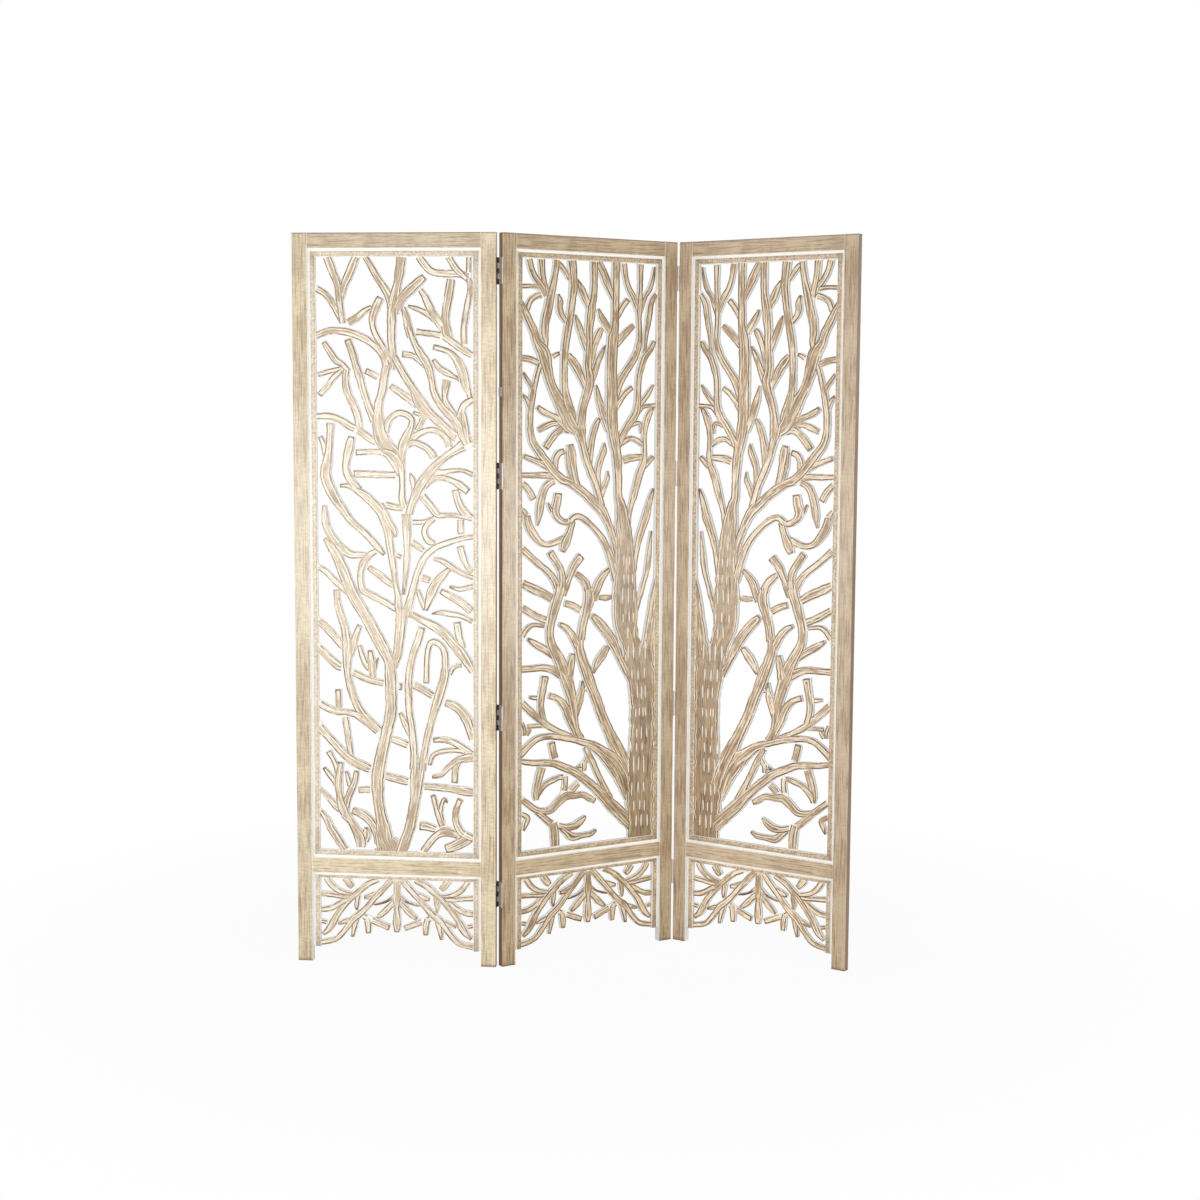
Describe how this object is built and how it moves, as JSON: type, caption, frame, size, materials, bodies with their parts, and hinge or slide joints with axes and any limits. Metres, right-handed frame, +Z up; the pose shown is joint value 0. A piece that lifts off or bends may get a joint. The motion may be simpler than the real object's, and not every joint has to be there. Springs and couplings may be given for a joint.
{
  "type": "folding screen",
  "caption": "Hinged folding room screen with pierced tree carvings in plain wooden frames, standing on stile feet over carved arched aprons.",
  "frame": {"origin": "middle of the plan's bounding box, on the floor", "axes": "+X to the right seen from the front, +Y to the back, +Z up, in the zigzag stance of the picture"},
  "size_m": [1.3946, 0.2941, 1.829],
  "materials": {
    "carved_wood": "carved, rubbed with whitewash and brown stain",
    "frame_wood": "worn brown stain over a fine ripple, paler along the edges",
    "dowel_wood": "plain",
    "hinge_metal": "worn steel with brown tarnish",
    "screw_steel": "worn steel",
    "pad_plastic": "plain pale grey"
  },
  "bodies": {
    "middle_panel": {"middle_panel_left_stile": "frame_wood", "middle_panel_right_stile": "frame_wood", "middle_panel_top_rail": "frame_wood", "middle_panel_middle_rail": "frame_wood", "middle_panel_rail_dowels": "dowel_wood", "middle_panel_tree_board": "carved_wood", "middle_panel_apron_board": "carved_wood", "middle_panel_edge_pad": "pad_plastic", "left_hinge_top_middle_leaf": "hinge_metal", "left_hinge_upper_middle_leaf": "hinge_metal", "left_hinge_lower_middle_leaf": "hinge_metal", "left_hinge_bottom_middle_leaf": "hinge_metal", "left_hinge_middle_screws": "screw_steel", "right_hinge_top_middle_leaf": "hinge_metal", "right_hinge_upper_middle_leaf": "hinge_metal", "right_hinge_lower_middle_leaf": "hinge_metal", "right_hinge_bottom_middle_leaf": "hinge_metal", "right_hinge_middle_screws": "screw_steel"},
    "left_panel": {"left_panel_left_stile": "frame_wood", "left_panel_right_stile": "frame_wood", "left_panel_top_rail": "frame_wood", "left_panel_middle_rail": "frame_wood", "left_panel_rail_dowels": "dowel_wood", "left_panel_tree_board": "carved_wood", "left_panel_apron_board": "carved_wood", "left_hinge_top_side_leaf": "hinge_metal", "left_hinge_upper_side_leaf": "hinge_metal", "left_hinge_lower_side_leaf": "hinge_metal", "left_hinge_bottom_side_leaf": "hinge_metal", "left_hinge_top_pin": "hinge_metal", "left_hinge_upper_pin": "hinge_metal", "left_hinge_lower_pin": "hinge_metal", "left_hinge_bottom_pin": "hinge_metal", "left_hinge_side_screws": "screw_steel"},
    "right_panel": {"right_panel_left_stile": "frame_wood", "right_panel_right_stile": "frame_wood", "right_panel_top_rail": "frame_wood", "right_panel_middle_rail": "frame_wood", "right_panel_rail_dowels": "dowel_wood", "right_panel_tree_board": "carved_wood", "right_panel_apron_board": "carved_wood", "right_hinge_top_side_leaf": "hinge_metal", "right_hinge_upper_side_leaf": "hinge_metal", "right_hinge_lower_side_leaf": "hinge_metal", "right_hinge_bottom_side_leaf": "hinge_metal", "right_hinge_top_pin": "hinge_metal", "right_hinge_upper_pin": "hinge_metal", "right_hinge_lower_pin": "hinge_metal", "right_hinge_bottom_pin": "hinge_metal", "right_hinge_side_screws": "screw_steel"}
  },
  "joints": [
    {"name": "left_panel_hinge", "type": "hinge", "parent": "middle_panel", "child": "left_panel", "pos_m": [-0.18749, -0.1262, 0.9], "axis": [0, 0, -1], "range_deg": [-37, 143]},
    {"name": "right_panel_hinge", "type": "hinge", "parent": "middle_panel", "child": "right_panel", "pos_m": [0.25615, 0.13034, 0.9], "axis": [0, 0, -1], "range_deg": [-65, 115]}
  ]
}
